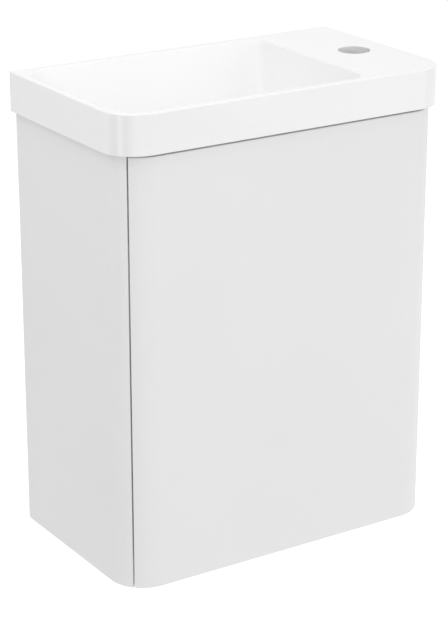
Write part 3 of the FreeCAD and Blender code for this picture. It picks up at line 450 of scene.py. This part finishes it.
def makeBuffers():
    low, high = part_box("door_buffers")
    middle = (low + high) / 2
    radius = (high.z - low.z) / 2
    left = makeDisc("doorBufferLeft", bufferSet["sides"], radius, high.y - low.y,
                    (low.x + radius, middle.y, middle.z))
    bpy.ops.object.mode_set(mode="EDIT")
    pickEdges(left, lambda spot: spot.y < middle.y)
    bpy.ops.mesh.bevel(offset=bufferSet["dome"], segments=bufferSet["domeSteps"], profile=roundSection)
    pickEdges(left, lambda spot: spot.y > high.y - nearFace)
    bpy.ops.mesh.bevel(offset=bufferSet["foot"], segments=bufferSet["footSteps"], profile=roundSection)
    bpy.ops.object.mode_set(mode="OBJECT")
    bpy.ops.object.shade_smooth_by_angle(angle=edgeTurn)
    right = twinOf(left, "doorBufferRight", (high.x - low.x - 2 * radius, 0, 0))
    standFor(left, "door_buffers")
    standFor(right, "door_buffers")


# Adjusting screws in the front of the hangers, for the cabinet's height and its hold on the wall

adjusterSet = {"sides": 40, "radius": 0.004, "proud": 0.0012, "buried": 0.002, "rim": 0.0004, "rimSteps": 3,
               "spread": 0.028, "bar": (0.0011, 0.0018, 0.005)}


def cutBar(piece, size, spot):
    bpy.ops.object.select_all(action="DESELECT")
    bpy.ops.mesh.primitive_cube_add(size=1, location=spot)
    bar = bpy.context.object
    bar.scale = size
    recess = piece.modifiers.new("recess", "BOOLEAN")
    recess.object = bar
    recess.operation = "DIFFERENCE"
    pickOnly(piece)
    bpy.ops.object.modifier_apply(modifier=recess.name)
    bpy.data.objects.remove(bar)


def makeAdjusters():
    low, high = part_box("hanger_body_left")
    middle = (low + high) / 2
    front = low.y - adjusterSet["proud"]
    depth = adjusterSet["proud"] + adjusterSet["buried"]
    upper = middle.z + adjusterSet["spread"] / 2
    first = makeDisc("hangerAdjusterLeftUpper", adjusterSet["sides"], adjusterSet["radius"], depth,
                     (middle.x, front + depth / 2, upper))
    bpy.ops.object.mode_set(mode="EDIT")
    pickEdges(first, lambda spot: spot.y < front + nearFace)
    bpy.ops.mesh.bevel(offset=adjusterSet["rim"], segments=adjusterSet["rimSteps"], profile=roundSection)
    bpy.ops.object.mode_set(mode="OBJECT")
    thin, deep, wide = adjusterSet["bar"]
    for size in ((thin, deep, wide), (wide, deep, thin)):
        cutBar(first, size, (middle.x, front, upper))
    bpy.ops.object.shade_smooth_by_angle(angle=edgeTurn)
    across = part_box("hanger_body_right")[0].x - low.x
    down = (0, 0, -adjusterSet["spread"])
    second = twinOf(first, "hangerAdjusterLeftLower", down)
    third = twinOf(first, "hangerAdjusterRightUpper", (across, 0, 0))
    fourth = twinOf(third, "hangerAdjusterRightLower", down)
    for piece in (first, second, third, fourth):
        piece.data.materials.clear()
        piece.data.materials.append(finishes["zinc_steel"])
        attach(piece, "carcass")


makeBuffers()
makeAdjusters()
print("fittings: 2 buffers and 4 adjusting screws modelled")


# Studio: pale floor far below the hung cabinet, white surroundings, soft lamps

floorSet = {"drop": 0.35, "size": 14, "glow": 0.41, "colour": (0.8, 0.8, 0.8)}
# the light slopes: it is brighter from above and from the front
worldSet = {"backdrop": 1.0, "ambient": 0.59, "slope": (0.04, -0.27, 0.28)}
lampSets = [  # gloss doesn't see the top lamp: its image would draw a bright line in the bowl's corner
    {"name": "frontLamp", "at": (1.9, -2.3, 0.4), "size": 2.4, "power": 8.0, "gloss": True},
    {"name": "sideLamp", "at": (-0.85, -0.5, 0.7), "size": 0.9, "power": 0.85, "gloss": True},
    {"name": "topLamp", "at": (-0.9, -0.2, 1.8), "size": 1.5, "power": 6.6, "gloss": False},
    {"name": "backLamp", "at": (0.5, 2.4, -0.2), "size": 0.7, "power": 6.0, "gloss": True},
]
studioFloorLevel = cadBox[0].z - floorSet["drop"]


def seenDirectly(tree):
    path = addNode(tree, "ShaderNodeLightPath")
    seen = path.outputs["Is Camera Ray"]
    for name in ("Is Glossy Ray", "Is Transmission Ray"):
        either = addNode(tree, "ShaderNodeMath", operation="MAXIMUM")
        tree.links.new(seen, either.inputs[0])
        tree.links.new(path.outputs[name], either.inputs[1])
        seen = either.outputs["Value"]
    return seen


def setWorld():
    world = bpy.data.worlds.new("whiteStudio")
    bpy.context.scene.world = world
    world.use_nodes = True
    tree = world.node_tree
    ambient = tree.nodes["Background"]
    ambient.inputs["Color"].default_value = white
    coords = addNode(tree, "ShaderNodeTexCoord")
    lean = addNode(tree, "ShaderNodeVectorMath", {1: worldSet["slope"]}, operation="DOT_PRODUCT")
    level = addNode(tree, "ShaderNodeMath", {1: worldSet["ambient"]}, operation="ADD")
    tree.links.new(coords.outputs["Generated"], lean.inputs[0])
    tree.links.new(lean.outputs["Value"], level.inputs[0])
    tree.links.new(level.outputs["Value"], ambient.inputs["Strength"])
    backdrop = addNode(tree, "ShaderNodeBackground", {"Color": white, "Strength": worldSet["backdrop"]})
    mix = addNode(tree, "ShaderNodeMixShader")
    tree.links.new(seenDirectly(tree), mix.inputs["Fac"])
    tree.links.new(ambient.outputs["Background"], mix.inputs[1])
    tree.links.new(backdrop.outputs["Background"], mix.inputs[2])
    tree.links.new(mix.outputs["Shader"], tree.nodes["World Output"].inputs["Surface"])


def setFloor():
    bpy.ops.object.select_all(action="DESELECT")
    bpy.ops.mesh.primitive_plane_add(size=floorSet["size"], location=(0, 0, studioFloorLevel))
    floor = bpy.context.object
    floor.name = "studioFloor"
    finish, tree, shader = startFinish("paleFloor")
    setSockets(shader, Base_Color=(*floorSet["colour"], 1), Roughness=1.0, Specular_IOR_Level=0.0)
    glow = addNode(tree, "ShaderNodeEmission", {"Color": white, "Strength": floorSet["glow"]})
    lit = addNode(tree, "ShaderNodeAddShader")
    tree.links.new(shader.outputs["BSDF"], lit.inputs[0])
    tree.links.new(glow.outputs["Emission"], lit.inputs[1])
    mix = addNode(tree, "ShaderNodeMixShader")
    tree.links.new(seenDirectly(tree), mix.inputs["Fac"])
    tree.links.new(shader.outputs["BSDF"], mix.inputs[1])
    tree.links.new(lit.outputs["Shader"], mix.inputs[2])
    tree.links.new(mix.outputs["Shader"], tree.nodes["Material Output"].inputs["Surface"])
    floor.data.materials.append(finish)


def setLamps():
    for lampSet in lampSets:
        at = Vector(lampSet["at"])
        bpy.ops.object.light_add(type="AREA", location=at)
        lamp = bpy.context.object
        lamp.name = lampSet["name"]
        lamp.data.shape = "DISK"
        lamp.data.size = lampSet["size"]
        lamp.data.energy = lampSet["power"]
        lamp.visible_glossy = lampSet["gloss"]
        lamp.rotation_euler = (cadCentre - at).to_track_quat("-Z", "Y").to_euler()


# Dark cards that fade to white stand to the left: only gloss sees them, as bands on the basin's round corner
cardSets = [  # "turn" is in degrees, from the left towards the front
    {"name": "leftCard", "turn": -9, "width": 0.9, "fade": (-0.1, 0.5)},
    {"name": "frontCard", "turn": 43, "width": 0.9, "fade": (0.1, -0.5)},
]
cardShape = {"away": 1.4, "height": 0.62}


def cardFinish(fade):
    finish, tree, shader = startFinish("fadedCard")
    setSockets(shader, Base_Color=(0, 0, 0, 1), Roughness=1.0, Specular_IOR_Level=0.0, Emission_Color=white)
    across = pickAxis(tree, objectCoords(tree), "X")
    tree.links.new(spread(tree, across, 0, 1, *fade), shader.inputs["Emission Strength"])
    return finish


def setCards():
    corner = Vector((cadBox[0].x, cadBox[0].y, studioFloorLevel + cardShape["height"] / 2))
    for cardSet in cardSets:
        turn = math.radians(cardSet["turn"])
        at = corner - cardShape["away"] * Vector((math.cos(turn), math.sin(turn), 0))
        bpy.ops.object.select_all(action="DESELECT")
        bpy.ops.mesh.primitive_plane_add(size=1, location=at, rotation=(quarterTurn, 0, quarterTurn + turn))
        card = bpy.context.object
        card.name = cardSet["name"]
        card.scale = (cardSet["width"], cardShape["height"], 1)
        card.data.materials.append(cardFinish(cardSet["fade"]))
        card.visible_camera = False
        card.visible_diffuse = False
        card.visible_transmission = False
        card.visible_shadow = False


# The first two angles place the camera and are in degrees, "yaw" and "pitch" aim it and are in radians
cameraSet = {"azimuth": 33.0, "elevation": 19.6, "away": 2.3, "yaw": 0.5722, "pitch": 0.3495, "focal": 122}


def setCamera():
    turn, rise = math.radians(cameraSet["azimuth"]), math.radians(cameraSet["elevation"])
    back = Vector((-math.sin(turn) * math.cos(rise), -math.cos(turn) * math.cos(rise), math.sin(rise)))
    bpy.ops.object.camera_add(location=cadCentre + cameraSet["away"] * back)
    camera = bpy.context.object
    camera.name = "photoCamera"
    camera.rotation_euler = (quarterTurn - cameraSet["pitch"], 0, -cameraSet["yaw"])
    camera.data.lens = cameraSet["focal"]
    bpy.context.scene.camera = camera


setWorld()
setFloor()
setLamps()
setCards()
setCamera()
bpy.context.scene.view_settings.view_transform = "Standard"
print("studio: floor, lamps, cards and camera set")
